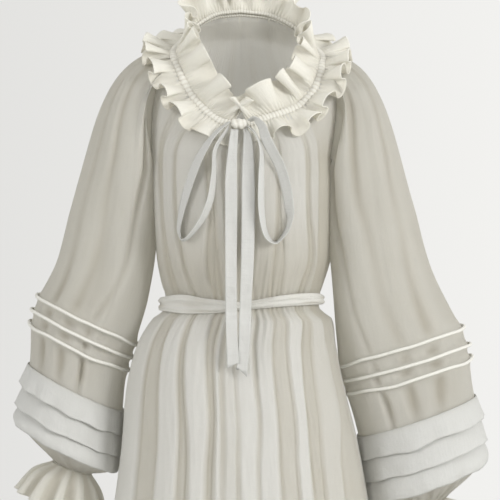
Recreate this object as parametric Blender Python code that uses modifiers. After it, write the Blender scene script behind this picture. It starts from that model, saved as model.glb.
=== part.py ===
"""An ivory voile dress, hollow and open, in the pose it has when worn.

Metres, +Z up. X runs across from the wearer's right to left, and -Y is the front. The origin is midway
between the shoulders, at the height where the neck casing rests on them. A drop is a distance below it.
"""

from bisect import bisect_right
from math import asin, cos, pi, radians, sin

import bmesh
import bpy
from mathutils import Vector

NAME = "dress"

# Cloth
VOILE = 0.0014
DOUBLED_VOILE = 0.0018
TAPE = 0.0012
# Between the middles of two walls, so that their turned corners stay 0.3 mm apart
SIDE_SEAM = 0.0009
RAGLAN_SEAM = ((0.0, 0.0020), (0.3, 0.0025), (1.0, 0.0023))  # share of the seam from the casing, gap

# Body: where the side seams lie from front to back, and the sections.
# drop, wearer's right edge, left edge, front, back, depth of the folds
SIDE_Y = -0.006
BODY = (
    (0.120, -0.132, 0.130, -0.101, 0.100, 0.002),
    (0.170, -0.142, 0.141, -0.116, 0.104, 0.004),
    (0.240, -0.139, 0.140, -0.127, 0.102, 0.006),
    (0.320, -0.128, 0.135, -0.119, 0.094, 0.007),
    (0.362, -0.116, 0.122, -0.107, 0.086, 0.006),
    (0.380, -0.113, 0.118, -0.101, 0.080, 0.003),
    (0.402, -0.116, 0.119, -0.101, 0.080, 0.003),
    (0.416, -0.139, 0.137, -0.115, 0.096, 0.008),
    (0.455, -0.162, 0.143, -0.124, 0.107, 0.011),
    (0.520, -0.178, 0.156, -0.131, 0.120, 0.013),
    (0.620, -0.188, 0.180, -0.144, 0.135, 0.016),
    (0.760, -0.207, 0.204, -0.163, 0.155, 0.020),
    (0.950, -0.233, 0.232, -0.188, 0.182, 0.025),
    (1.160, -0.261, 0.261, -0.213, 0.209, 0.030),
    (1.380, -0.290, 0.290, -0.237, 0.233, 0.034),
)
UNDERARM = BODY[1][0]

# Front folds: a row for each groove, with its place across the front at seven drops, from -1 at
# the wearer's right side seam to 1 at the left one, and how far the fold on its left side is sunk.
GROOVE_DROPS = (0.170, 0.240, 0.361, 0.392, 0.493, 0.654, 1.380)
FRONT_GROOVES = (
    (-0.91, -0.89, -0.92, -0.87, -0.85, -0.83, -0.83, 0.0),
    (-0.70, -0.69, -0.71, -0.61, -0.42, -0.48, -0.52, 0.0),
    (-0.51, -0.48, -0.44, -0.33, -0.18, -0.22, -0.27, 0.2),
    (-0.27, -0.27, -0.30, -0.21, -0.09, -0.15, -0.16, 0.4),
    (-0.04, -0.06, -0.09, -0.03, 0.04, -0.02, 0.00, 0.0),
    (0.14, 0.13, 0.13, 0.19, 0.22, 0.16, 0.15, 0.2),
    (0.27, 0.27, 0.29, 0.32, 0.34, 0.26, 0.26, 0.0),
    (0.38, 0.37, 0.39, 0.44, 0.44, 0.36, 0.37, 0.6),
    (0.61, 0.59, 0.54, 0.57, 0.56, 0.48, 0.50, 0.0),
    (0.75, 0.75, 0.77, 0.79, 0.72, 0.61, 0.64, 0.6),
    (0.87, 0.86, 0.90, 0.90, 0.84, 0.77, 0.80, 0.0),
)
BACK_FOLDS = 8
BACK_UNEVEN = 0.25  # how far the back's folds differ in width
BACK_SUNK = 0.3  # how far every third one is sunk
FOLD_STEPS = 4
HALF_FOLD_STEPS = 3
SIDE_BEARING = 80  # from here to the seam at 90 the panels draw apart

# Neck: the casing's middle line. bearing from the front towards the wearer's left, x, y, z
NECK_LINE = (
    (-180, -0.003, 0.070, 0.068),
    (-150, -0.045, 0.066, 0.062),
    (-125, -0.079, 0.048, 0.040),
    (-105, -0.098, 0.020, 0.014),
    (-90, -0.106, 0.000, 0.002),
    (-75, -0.107, -0.022, -0.010),
    (-62, -0.098, -0.043, -0.035),
    (-48, -0.081, -0.065, -0.070),
    (-34, -0.060, -0.080, -0.096),
    (-18, -0.033, -0.092, -0.117),
    (0, 0.000, -0.097, -0.122),
    (18, 0.032, -0.092, -0.113),
    (34, 0.061, -0.083, -0.103),
    (48, 0.086, -0.069, -0.091),
    (62, 0.108, -0.050, -0.065),
    (75, 0.119, -0.028, -0.035),
    (90, 0.122, -0.004, -0.010),
    (105, 0.112, 0.018, 0.006),
    (125, 0.090, 0.046, 0.035),
    (150, 0.048, 0.066, 0.060),
    (180, -0.003, 0.070, 0.068),
)
NECK_SLOPE_SIDE = 0.2  # fall of the shoulders outward from the neck
NECK_SLOPE_MORE = 1.8  # what the chest and the back add to that
RAGLAN_FRONT = {-1: -64, 1: 72}  # bearings where the sleeve seams meet the casing
RAGLAN_BACK = {-1: -128, 1: 128}
PANEL_OUT = 0.0054  # a panel's top edge from the casing's middle line
PANEL_IN = -0.0005
YOKE_ROWS = 3  # rows of the mesh from the casing to the underarm
YOKE_LEAN = 0.35  # how far the cloth leans towards the armholes at the underarm
SLIT_ROWS = 1
SLIT_GROOVE = 4

# Casing
CASING_WIDE = 0.0045  # half its width along the body
CASING_HIGH = 0.0030
CASING_ENDS = (3, 353)
CASING_PUFFS = 44
CASING_SIDES = 6
PINCH = 0.82

# Ruffles. bearing, width, lift of the free edge, half height of its waves
RUFFLE_ENDS = (9, 347)
RUFFLE_WAVES = 20
RUFFLE_ROOT = 0.0030
INNER_REACH = (0.0, 0.40, 0.76)  # how far out each of a ruffle's rows lies, as a share of its width
INNER_RUFFLE = (
    (-180, 0.040, 0.020, 0.008),
    (-120, 0.044, 0.026, 0.010),
    (-60, 0.050, 0.026, 0.011),
    (-35, 0.048, 0.026, 0.010),
    (-14, 0.026, 0.018, 0.004),
    (14, 0.026, 0.018, 0.004),
    (35, 0.048, 0.026, 0.010),
    (60, 0.050, 0.028, 0.011),
    (120, 0.044, 0.026, 0.010),
    (180, 0.040, 0.020, 0.008),
)
OUTER_REACH = (0.0, 0.48, 0.94)
OUTER_RUFFLE = (
    (-180, 0.036, 0.013, 0.008),
    (-100, 0.044, 0.015, 0.009),
    (-60, 0.042, 0.015, 0.009),
    (-30, 0.040, 0.011, 0.006),
    (0, 0.036, 0.009, 0.004),
    (30, 0.038, 0.011, 0.006),
    (60, 0.038, 0.015, 0.009),
    (100, 0.042, 0.015, 0.009),
    (180, 0.036, 0.013, 0.008),
)
RUFFLE_SHARES = (0.0, 0.5, 1.0)  # how much of the waves and the lift each of its rows has
RUFFLE_UNEVEN = 0.35  # how far its waves differ in length
RUFFLE_SWELLS = 0.3  # and in height
CREST_DRAWS_IN = 0.45  # how far a wave's crest draws the edge in, beside the wave's height

# Sleeves, from below the underarm to the wrist.
# outer x, outer drop, inner x, inner drop, middle y, half depth, depth of the folds
SLEEVE = {
    "right": (
        (-0.239, 0.138, -0.1440, 0.199, 0.012, 0.075, 0.005),
        (-0.269, 0.244, -0.1390, 0.290, 0.020, 0.078, 0.006),
        (-0.292, 0.325, -0.1460, 0.383, 0.026, 0.078, 0.006),
        (-0.320, 0.382, -0.1670, 0.457, 0.030, 0.074, 0.003),
        (-0.332, 0.425, -0.1795, 0.498, 0.030, 0.076, 0.003),
        (-0.334, 0.487, -0.1890, 0.560, 0.028, 0.076, 0.002),
        (-0.345, 0.547, -0.1950, 0.622, 0.026, 0.078, 0.002),
        (-0.347, 0.582, -0.2030, 0.654, 0.024, 0.076, 0.004),
        (-0.298, 0.637, -0.2360, 0.659, 0.020, 0.030, 0.003),
    ),
    "left": (
        (0.244, 0.150, 0.1425, 0.203, 0.012, 0.075, 0.005),
        (0.271, 0.244, 0.1400, 0.295, 0.020, 0.078, 0.006),
        (0.299, 0.340, 0.1425, 0.395, 0.026, 0.078, 0.006),
        (0.343, 0.431, 0.1510, 0.491, 0.030, 0.076, 0.003),
        (0.356, 0.479, 0.1620, 0.535, 0.030, 0.078, 0.003),
        (0.362, 0.537, 0.1810, 0.600, 0.028, 0.078, 0.002),
        (0.371, 0.600, 0.1930, 0.662, 0.026, 0.080, 0.002),
        (0.370, 0.643, 0.2050, 0.702, 0.024, 0.078, 0.004),
        (0.318, 0.694, 0.2540, 0.716, 0.020, 0.030, 0.003),
    ),
}
SIDES = {"right": -1, "left": 1}
SLEEVE_COLUMNS = 32
SLEEVE_FOLDS = 4  # twice that many grooves run round
SEAM_COLUMNS = 6
SHOULDER_ROWS = 3
SEAM_FULLNESS = 0.7
SHOULDER_FULLNESS = 1.3
SEAM_LEAN = 0.35  # how the sleeve leaves the seam: towards the front or back, and down
SEAM_FALL = 0.25
SEAM_FALL_MORE = 0.75  # what the underarm adds to that

# Corded tucks. Each one's row among the sleeve's sections, and how far it stands off them.
CORD = 0.0052
CORD_TUCKS = ((3.0, 0.0012), (3.5, 0.0018), (4.0, 0.0012))
CORD_POINTS = 24

# Deep tucks: the rows where each begins and ends
DEEP_TUCKS = ((5.0, 5.55), (5.5, 6.15), (6.05, 7.0))
TUCK_TOP = 0.0024
TUCK_FLARE_INNER = 0.0040
TUCK_FLARE_OUTER = 0.0085

# Wrist frills. half width, half depth, shift away from the body, drop, half height of the waves
FRILL = (
    (0.031, 0.030, 0.000, 0.0016, 0.0005),
    (0.054, 0.048, 0.008, 0.022, 0.0045),
    (0.070, 0.062, 0.018, 0.058, 0.0075),
)
FRILL_WAVES = 12

# Belt. bearing, drop of its middle, half height, how far it stands off the body
BELT_COLUMNS = 32
BELT = (
    (-180, 0.390, 0.0110, 0.005),
    (-135, 0.388, 0.0100, 0.005),
    (-90, 0.393, 0.0080, 0.010),
    (-50, 0.391, 0.0140, 0.005),
    (-20, 0.394, 0.0100, 0.0035),
    (0, 0.393, 0.0055, 0.0035),
    (30, 0.386, 0.0085, 0.0045),
    (60, 0.384, 0.0085, 0.005),
    (90, 0.387, 0.0065, 0.006),
    (135, 0.388, 0.0100, 0.005),
    (180, 0.390, 0.0110, 0.005),
)
# Across the belt: share of the half height, how far the crushed cloth swells
BELT_PROFILE = ((1.0, 0.0), (0.5, 0.0032), (0.0, 0.0012), (-0.5, 0.0032), (-1.0, 0.0))

# Drawstring. The knot, then the loops and tails.
KNOT_AT = (-0.0055, -0.1080, -0.123)
KNOT_SIZE = (0.024, 0.014, 0.015)
KNOT_ROUND = 0.0035
# x, drop, lift off the front, width, turn of the tape out of the front's plane in degrees
TIES = {
    "tie_loop_right": (
        (-0.0204, 0.1200, 0.008, 0.008, 75),
        (-0.0360, 0.1340, 0.019, 0.012, 65),
        (-0.0523, 0.1540, 0.022, 0.016, 55),
        (-0.0690, 0.1850, 0.018, 0.017, 45),
        (-0.0825, 0.2220, 0.013, 0.017, 50),
        (-0.0915, 0.2560, 0.013, 0.017, 60),
        (-0.0955, 0.2800, 0.013, 0.017, 70),
        (-0.0900, 0.2945, 0.013, 0.017, 80),
        (-0.0780, 0.2890, 0.013, 0.017, 75),
        (-0.0585, 0.2630, 0.013, 0.017, 65),
        (-0.0465, 0.2330, 0.013, 0.017, 60),
        (-0.0420, 0.1950, 0.015, 0.016, 65),
        (-0.0400, 0.1620, 0.019, 0.013, 70),
        (-0.0204, 0.1270, 0.008, 0.008, 80),
    ),
    "tie_loop_left": (
        (0.0090, 0.1185, 0.008, 0.008, 75),
        (0.0175, 0.1170, 0.015, 0.012, 60),
        (0.0280, 0.1280, 0.021, 0.015, 40),
        (0.0350, 0.1480, 0.022, 0.017, 30),
        (0.0450, 0.1670, 0.021, 0.017, 30),
        (0.0560, 0.1890, 0.017, 0.017, 30),
        (0.0645, 0.2200, 0.013, 0.017, 30),
        (0.0690, 0.2480, 0.013, 0.017, 40),
        (0.0698, 0.2640, 0.013, 0.017, 60),
        (0.0640, 0.2830, 0.013, 0.017, 70),
        (0.0505, 0.2985, 0.013, 0.017, 80),
        (0.0385, 0.2930, 0.013, 0.017, 70),
        (0.0310, 0.2760, 0.013, 0.017, 65),
        (0.0272, 0.2440, 0.013, 0.017, 60),
        (0.0275, 0.2000, 0.015, 0.016, 60),
        (0.0280, 0.1650, 0.019, 0.013, 70),
        (0.0200, 0.1400, 0.017, 0.009, 80),
        (0.0087, 0.1265, 0.008, 0.007, 85),
    ),
    "tie_tail_right": (
        (-0.0119, 0.1312, 0.007, 0.0115, 0),
        (-0.0145, 0.1600, 0.011, 0.0135, 0),
        (-0.0175, 0.2050, 0.010, 0.0165, 5),
        (-0.0175, 0.2513, 0.010, 0.0170, 5),
        (-0.0170, 0.3200, 0.018, 0.0170, 0),
        (-0.0168, 0.3834, 0.034, 0.0170, 0),
        (-0.0160, 0.4300, 0.022, 0.0170, 0),
        (-0.0138, 0.4788, 0.013, 0.0180, 0),
    ),
    "tie_tail_left": (
        (0.0035, 0.1310, 0.007, 0.0050, 0),
        (0.0075, 0.1480, 0.010, 0.0140, 20),
        (0.0098, 0.2000, 0.0085, 0.0160, 5),
        (0.0098, 0.2513, 0.0085, 0.0165, 0),
        (0.0085, 0.3200, 0.0165, 0.0165, 0),
        (0.0051, 0.3834, 0.0325, 0.0165, 0),
        (0.0028, 0.4377, 0.0190, 0.0175, 0),
        (-0.0012, 0.4884, 0.0095, 0.0160, 0),
    ),
}
TIE_NEAR = 0.05  # rows of a table to each side that give the tape's direction
TIE_STEPS = {"tie_loop_right": 26, "tie_loop_left": 30, "tie_tail_right": 12, "tie_tail_left": 12}

# Colours, linear
IVORY = (0.80, 0.78, 0.70)
RUFFLE_IVORY = (0.86, 0.84, 0.77)
TUCK_GREY = (0.68, 0.69, 0.65)


def glide(keys, values, at):
    """Reads a smooth curve through values at rising keys."""
    last = len(keys) - 1
    low = min(max(bisect_right(keys, at) - 1, 0), last - 1)
    span = keys[low + 1] - keys[low]
    t = (at - keys[low]) / span

    def slope(k):
        before, after = max(k - 1, 0), min(k + 1, last)
        return (values[after] - values[before]) / (keys[after] - keys[before])

    ease = t * t * (3 - 2 * t)
    leave = t * (1 - t) ** 2 * span * slope(low)
    arrive = t * t * (1 - t) * span * slope(low + 1)
    return values[low] * (1 - ease) + values[low + 1] * ease + leave - arrive


def read(table, at):
    """Reads a table between its rows: its first column holds the keys, and the rest comes back."""
    columns = list(zip(*table))
    return [glide(columns[0], column, at) for column in columns[1:]]


def bend(start, leave, end, arrive, t):
    """A point on the curve that leaves start and arrives at end along the given vectors."""
    ease = t * t * (3 - 2 * t)
    return start.lerp(end, ease) + leave * t * (1 - t) ** 2 - arrive * t * t * (1 - t)


def groove(q):
    """Depth of a fold at q, from 0 in one groove over the crest at 0.5 to 1 in the next."""
    return abs(cos(pi * q)) ** 3


def around(bearing):
    """A bearing between -180 and 180."""
    return (bearing + 180) % 360 - 180


def neck_at(bearing):
    return Vector(read(NECK_LINE, around(bearing)))


def neck_frame(bearing):
    """The casing's middle, the way out along the body, the way off it and the way along the casing."""
    middle = neck_at(bearing)
    along = (neck_at(bearing + 2) - neck_at(bearing - 2)).normalized()
    turn = radians(bearing)
    fall = NECK_SLOPE_SIDE + NECK_SLOPE_MORE * cos(turn) ** 2
    out = Vector((sin(turn), -cos(turn), -fall))
    out = (out - along * out.dot(along)).normalized()
    return middle, out, out.cross(along), along


def body_point(drop, bearing, sink=0.0):
    """A point on the body's section at a drop, sunk inwards from the crests of the folds."""
    right, left, front, back, _ = read(BODY, drop)
    turn = radians(bearing)
    half = (left - right) / 2
    deep = (SIDE_Y - front) if cos(turn) > 0 else (back - SIDE_Y)
    at = Vector(((left + right) / 2 + half * sin(turn), SIDE_Y - deep * cos(turn), -drop))
    inward = Vector((-sin(turn) / half, cos(turn) / deep, 0)).normalized()
    return at + inward * sink


def front_columns(drop):
    """Bearings and shares of the fold depth for the front's columns at a drop."""
    places = [-1.0] + [glide(GROOVE_DROPS, row[:-1], drop) for row in FRONT_GROOVES] + [1.0]
    bearings = [asin(max(-1.0, min(1.0, p))) * 180 / pi for p in places]
    sunk = [0.0] + [row[-1] for row in FRONT_GROOVES[:-1]] + [0.0]
    return fold_columns(bearings, sunk)


def back_columns():
    """The same for the back, whose folds are a little uneven."""
    widths = [0.5] + [1 + BACK_UNEVEN * sin(2.4 * k) for k in range(BACK_FOLDS)] + [0.5]
    total, run, bearings = sum(widths), 0.0, [-90.0]
    for width in widths:
        run += width
        bearings.append(180 * run / total - 90)
    sunk = [0.0] + [BACK_SUNK * (k % 3 == 1) for k in range(BACK_FOLDS)] + [0.0]
    return fold_columns(bearings, sunk)


def fold_columns(bearings, sunk):
    """(bearing, share of the fold depth) for each column. The side seams lie on crests."""
    last, found = len(sunk) - 1, []
    for k, low in enumerate(sunk):
        steps = HALF_FOLD_STEPS if k in (0, last) else FOLD_STEPS
        for step in range(steps):
            q = step / steps
            across = bearings[k] + (bearings[k + 1] - bearings[k]) * q
            fold_q = 0.5 + q / 2 if k == 0 else q / 2 if k == last else q
            found.append((across, low + (1 - low) * groove(fold_q)))
    found.append((bearings[-1], 0.0))
    return found


def panel_top(bearing):
    """Where a panel begins beside the casing, and the way it leaves."""
    middle, out, off, _ = neck_frame(bearing)
    return middle + out * PANEL_OUT + off * PANEL_IN, out


def yoke_point(neck_bearing, bearing, sink, t):
    """A point between the casing, t = 0, and the body's section at the underarm, t = 1."""
    start, out = panel_top(neck_bearing)
    end = body_point(UNDERARM, bearing, sink)
    reach = (end - start).length
    turn = radians(bearing)
    lean = YOKE_LEAN * sin(turn) ** 2 * (1 if cos(turn) > 0 else -1)
    arrive = Vector((0, lean, -1)).normalized()
    return bend(start, out * reach, end, arrive * reach, t)


def panel_rows(columns_at, neck_bearing, facing):
    """The rows of a body panel. facing is 0 at the front and 180 at the back."""
    depth = BODY[1][-1]
    rows = []
    for step in range(YOKE_ROWS):
        row = []
        for k, (bearing, share) in enumerate(columns_at(UNDERARM)):
            t = step / YOKE_ROWS
            seen = facing - bearing if facing else bearing
            row.append(yoke_point(neck_bearing(bearing), seen, depth * share * t, t))
        rows.append(row)
    for section in BODY[1:]:
        drop, fold = section[0], section[-1]
        row = []
        for bearing, share in columns_at(drop):
            seen = facing - bearing if facing else bearing
            point = body_point(drop, seen, fold * share)
            shift = SIDE_SEAM / 2 * max(0.0, abs(bearing) - SIDE_BEARING) / (90 - SIDE_BEARING)
            row.append(point + Vector((0, shift if facing else -shift, 0)))
        rows.append(row)
    return rows


def front_neck(bearing):
    return RAGLAN_FRONT[-1] + (RAGLAN_FRONT[1] - RAGLAN_FRONT[-1]) * (bearing + 90) / 180


def back_neck(bearing):
    sweep = 360 - RAGLAN_BACK[1] + RAGLAN_BACK[-1]
    return RAGLAN_BACK[-1] - sweep * (bearing + 90) / 180


def front_rows():
    return panel_rows(front_columns, front_neck, 0)


def back_rows():
    return panel_rows(lambda drop: back_columns(), back_neck, 180)


def finish(obj, colour, roughness):
    """Gives an object its own material and hangs it from the dress's empty."""
    material = bpy.data.materials.new(obj.name)
    material.use_nodes = True
    shader = material.node_tree.nodes["Principled BSDF"]
    shader.inputs["Base Color"].default_value = (*colour, 1)
    shader.inputs["Roughness"].default_value = roughness
    shader.inputs["Metallic"].default_value = 0
    obj.data.materials.append(material)
    obj.parent = WORN
    return obj


def cloth(name, rows, wall, colour, closed=False, left_out=()):
    """A sheet through rows of points, made a wall. Its origin is in the middle of the first row."""
    at = sum(rows[0], Vector()) / len(rows[0])
    wide = len(rows[0])
    faces = []
    for r in range(len(rows) - 1):
        for c in range(wide if closed else wide - 1):
            if (r, c) not in left_out:
                n = (c + 1) % wide
                faces.append((r * wide + c, r * wide + n, (r + 1) * wide + n, (r + 1) * wide + c))
    mesh = bpy.data.meshes.new(name)
    mesh.from_pydata([p - at for row in rows for p in row], [], faces)
    mesh.shade_smooth()
    obj = bpy.data.objects.new(name, mesh)
    obj.location = at
    PARTS.objects.link(obj)
    solid = obj.modifiers.new("Wall", "SOLIDIFY")
    solid.thickness = wall
    solid.offset = 0
    return finish(obj, colour, 0.9)


def body():
    """Front and back, each one length from the casing to the hem, drawn in under the belt."""
    split = HALF_FOLD_STEPS + SLIT_GROOVE * FOLD_STEPS
    slit = [(row, split) for row in range(SLIT_ROWS)]
    cloth("body_front", front_rows(), VOILE, IVORY, left_out=slit)
    cloth("body_back", back_rows(), VOILE, IVORY)


def sleeve_ring(side, row, angle, out=0.0, fold=True):
    """A point on a sleeve, at a row of its table. The angle runs from the body over the front."""
    table = SLEEVE[side]
    outer_x, outer_drop, inner_x, inner_drop, middle_y, deep, sink = (
        glide(range(len(table)), column, row) for column in zip(*table)
    )
    outer, inner = Vector((outer_x, 0, -outer_drop)), Vector((inner_x, 0, -inner_drop))
    middle = (outer + inner) / 2 + Vector((0, middle_y, 0))
    half = (outer - inner) / 2
    arm = Vector((0, -deep, 0)) * sin(angle) - half * cos(angle)
    share = abs(sin(SLEEVE_FOLDS * angle)) ** 3 if fold else 0.0
    return middle + arm + arm.normalized() * (out - sink * share)


def seam_line(side, back):
    """The raglan seam's points from the casing to the underarm, on the body panel's edge."""
    rows = back_rows() if back else front_rows()
    column = 0 if SIDES[side] < 0 else -1
    return [row[column] for row in rows[: YOKE_ROWS + 1]]


def sleeve_top(side):
    """The sleeve's upper edge: up the front seam, over the shoulder and down the back seam.

    Each point has the way that the cloth leaves it.
    """
    sign = SIDES[side]
    found = []
    per = SEAM_COLUMNS // YOKE_ROWS
    for back in (False, True):
        line = seam_line(side, back)
        half = []
        for k in range(SEAM_COLUMNS + 1):
            low, part = divmod(min(k, SEAM_COLUMNS - 1), per)
            point = line[-1] if k == SEAM_COLUMNS else line[low].lerp(line[low + 1], part / per)
            share = k / SEAM_COLUMNS
            lean = SEAM_LEAN if back else -SEAM_LEAN
            aside = Vector((sign, lean, -SEAM_FALL)).normalized() * read(RAGLAN_SEAM, share)[0]
            leave = Vector((sign, lean, -SEAM_FALL - SEAM_FALL_MORE * share)).normalized()
            half.append((point + aside, leave))
        found.append(half)
    front, rear = found
    cap = []
    over = SLEEVE_COLUMNS - 2 * SEAM_COLUMNS
    for k in range(1, over):
        bearing = RAGLAN_FRONT[sign] + (RAGLAN_BACK[sign] - RAGLAN_FRONT[sign]) * k / over
        cap.append(panel_top(bearing))
    return front[::-1] + cap + rear[:-1]


def sleeve(side):
    """A raglan bishop sleeve, gathered at the casing and at the wrist."""
    rows = []
    top = sleeve_top(side)
    angles = [2 * pi * k / SLEEVE_COLUMNS for k in range(SLEEVE_COLUMNS)]
    for step in range(SHOULDER_ROWS):
        t = step / SHOULDER_ROWS
        row = []
        for (start, leave), angle in zip(top, angles):
            end = sleeve_ring(side, 0, angle)
            full = SEAM_FULLNESS + (SHOULDER_FULLNESS - SEAM_FULLNESS) * sin(angle / 2) ** 2
            reach = (end - start).length * full
            down = (sleeve_ring(side, 1, angle) - end).normalized()
            row.append(bend(start, leave * reach, end, down * reach, t))
        rows.append(row)
    for k in range(len(SLEEVE[side])):
        rows.append([sleeve_ring(side, k, angle) for angle in angles])
    cloth(f"sleeve_{side}", rows, VOILE, IVORY, closed=True)


def cord_tucks(side):
    """Cords stitched into narrow tucks round the sleeve."""
    for k, (row, stands) in enumerate(CORD_TUCKS, start=1):
        curve = bpy.data.curves.new(f"cord_tuck_{side}_{k}", "CURVE")
        curve.dimensions = "3D"
        curve.bevel_depth = CORD / 2
        curve.bevel_resolution = 1
        curve.use_fill_caps = True
        spline = curve.splines.new("POLY")
        spline.points.add(CORD_POINTS - 1)
        spline.use_cyclic_u = True
        for n, point in enumerate(spline.points):
            angle = 2 * pi * n / CORD_POINTS
            point.co = (*sleeve_ring(side, row, angle, CORD / 2 + stands, fold=False), 1)
        obj = bpy.data.objects.new(curve.name, curve)
        PARTS.objects.link(obj)
        finish(obj, IVORY, 0.8)


def deep_tucks(side):
    """Flat tucks of doubled cloth, each one's edge hanging over the next one's top."""
    angles = [2 * pi * k / SLEEVE_COLUMNS for k in range(SLEEVE_COLUMNS)]
    for k, (begin, end) in enumerate(DEEP_TUCKS, start=1):
        top = [sleeve_ring(side, begin, a, TUCK_TOP, fold=False) for a in angles]
        edge = []
        for a in angles:
            flare = TUCK_FLARE_INNER + (TUCK_FLARE_OUTER - TUCK_FLARE_INNER) * (1 - cos(a)) / 2
            edge.append(sleeve_ring(side, end, a, TUCK_TOP + flare, fold=False))
        cloth(f"deep_tuck_{side}_{k}", [top, edge], DOUBLED_VOILE, TUCK_GREY, closed=True)


def wrist_frill(side):
    """A frill that flares from the gathered wrist."""
    outer_x, outer_drop, inner_x, inner_drop, middle_y, _, _ = SLEEVE[side][-1]
    middle = Vector(((outer_x + inner_x) / 2, middle_y, -(outer_drop + inner_drop) / 2))
    across = Vector((outer_x - inner_x, 0, inner_drop - outer_drop)).normalized()
    rows = []
    columns = FRILL_WAVES * 4
    for half, deep, shift, drop, wave in FRILL:
        centre = middle + Vector((SIDES[side] * shift, 0, -drop))
        row = []
        for k in range(columns):
            angle = 2 * pi * k / columns
            arm = Vector((0, -deep, 0)) * sin(angle) - across * half * cos(angle)
            row.append(centre + arm + arm.normalized() * wave * cos(FRILL_WAVES * angle))
        rows.append(row)
    cloth(f"wrist_frill_{side}", rows, VOILE, IVORY, closed=True)


def neck_casing():
    """The channel for the drawstring, drawn up into small puffs. Its ends meet behind the knot."""
    begin, end = CASING_ENDS
    stations = 2 * CASING_PUFFS + 1
    mesh = bmesh.new()
    rings = []
    for k in range(stations):
        middle, out, off, _ = neck_frame(begin + (end - begin) * k / (stations - 1))
        size = 1.0 if k % 2 else PINCH
        ring = []
        for n in range(CASING_SIDES):
            angle = 2 * pi * n / CASING_SIDES
            at = middle + (out * CASING_WIDE * cos(angle) + off * CASING_HIGH * sin(angle)) * size
            ring.append(mesh.verts.new(at))
        rings.append(ring)
    for low, high in zip(rings, rings[1:]):
        for n in range(CASING_SIDES):
            m = (n + 1) % CASING_SIDES
            mesh.faces.new((low[n], low[m], high[m], high[n]))
    mesh.faces.new(rings[0])
    mesh.faces.new(rings[-1])
    bmesh.ops.recalc_face_normals(mesh, faces=mesh.faces)
    data = bpy.data.meshes.new("neck_casing")
    mesh.to_mesh(data)
    mesh.free()
    data.shade_smooth()
    obj = bpy.data.objects.new("neck_casing", data)
    PARTS.objects.link(obj)
    finish(obj, RUFFLE_IVORY, 0.9)


def uneven(count):
    """Where count waves of slightly different lengths begin, as shares of the whole."""
    widths = [1 + RUFFLE_UNEVEN * sin(2.4 * k) for k in range(count)]
    total, run, begins = sum(widths), 0.0, [0.0]
    for width in widths:
        run += width
        begins.append(run / total)
    return begins


def neck_ruffle(name, table, reach, side):
    """A ruffle from beside the casing. side is 1 for the one that falls out and -1 for the inner one."""
    begin, end = RUFFLE_ENDS
    begins = uneven(RUFFLE_WAVES)
    rows = [[], [], []]
    for k in range(RUFFLE_WAVES * 4 + 1):
        wave, quarter = divmod(k, 4)
        share = begins[wave]
        if quarter:
            share += (begins[wave + 1] - begins[wave]) * quarter / 4
        bearing = around(begin + (end - begin) * share)
        middle, out, off, _ = neck_frame(bearing)
        wide, lift, high = read(table, bearing)
        swing = high * (1 + RUFFLE_SWELLS * sin(1.7 * wave)) * sin(pi * quarter / 2)
        for row, far, share in zip(rows, reach, RUFFLE_SHARES):
            away = RUFFLE_ROOT + far * wide - CREST_DRAWS_IN * swing * share
            up = RUFFLE_ROOT + (lift - RUFFLE_ROOT * (side > 0)) * share + swing * share
            row.append(middle + out * side * away + off * up)
    cloth(name, rows, VOILE, RUFFLE_IVORY)


def belt():
    """A crushed sash of the same cloth, drawn in round the waist."""
    rows = []
    for part, swell in BELT_PROFILE:
        row = []
        for k in range(BELT_COLUMNS):
            bearing = around(360 * k / BELT_COLUMNS)
            drop, half, off = read(BELT, bearing)
            row.append(body_point(drop - part * half, bearing, -(off + swell)))
        rows.append(row)
    cloth("belt", rows, VOILE, IVORY, closed=True)


def front_surface(x, drop):
    """The front's y under a point of the tape."""
    right, left, front, _, _ = read(BODY, drop)
    across = (x - (left + right) / 2) / ((left - right) / 2)
    return SIDE_Y - (SIDE_Y - front) * (1 - across * across) ** 0.5


def tie_point(table, row):
    x, drop, lift, wide, turn = (glide(range(len(table)), column, row) for column in zip(*table))
    return Vector((x, front_surface(x, drop) - lift, -drop)), wide, radians(turn)


def tie(name):
    """A stretch of the drawstring's tape, from the knot."""
    table, steps = TIES[name], TIE_STEPS[name]
    rows = []
    for k in range(steps + 1):
        row = (len(table) - 1) * k / steps
        at, wide, turn = tie_point(table, row)
        ahead, behind = tie_point(table, row + TIE_NEAR)[0], tie_point(table, row - TIE_NEAR)[0]
        along = (ahead - behind).normalized()
        flat = along.cross(Vector((0, -1, 0))).normalized()
        across = flat * cos(turn) + along.cross(flat) * sin(turn)
        rows.append([at - across * wide / 2, at + across * wide / 2])
    cloth(name, rows, TAPE, RUFFLE_IVORY)


def tie_knot():
    """The knot, as the rounded lump of tape that the loops and tails come out of."""
    mesh = bmesh.new()
    bmesh.ops.create_cube(mesh, size=1)
    bmesh.ops.scale(mesh, vec=KNOT_SIZE, verts=mesh.verts)
    data = bpy.data.meshes.new("tie_knot")
    mesh.to_mesh(data)
    mesh.free()
    data.shade_smooth()
    obj = bpy.data.objects.new("tie_knot", data)
    obj.location = KNOT_AT
    PARTS.objects.link(obj)
    edges = obj.modifiers.new("Rounded", "BEVEL")
    edges.width = KNOT_ROUND
    edges.segments = 2
    finish(obj, RUFFLE_IVORY, 0.8)


for old in list(bpy.data.objects):
    bpy.data.objects.remove(old)
PARTS = bpy.data.collections.new(NAME)
bpy.context.scene.collection.children.link(PARTS)
WORN = bpy.data.objects.new("worn", None)
PARTS.objects.link(WORN)

body()
for side in SIDES:
    sleeve(side)
    cord_tucks(side)
    deep_tucks(side)
    wrist_frill(side)
neck_casing()
neck_ruffle("neck_ruffle_inner", INNER_RUFFLE, INNER_REACH, -1)
neck_ruffle("neck_ruffle_outer", OUTER_RUFFLE, OUTER_REACH, 1)
belt()
tie_knot()
for name in TIES:
    tie(name)
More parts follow.
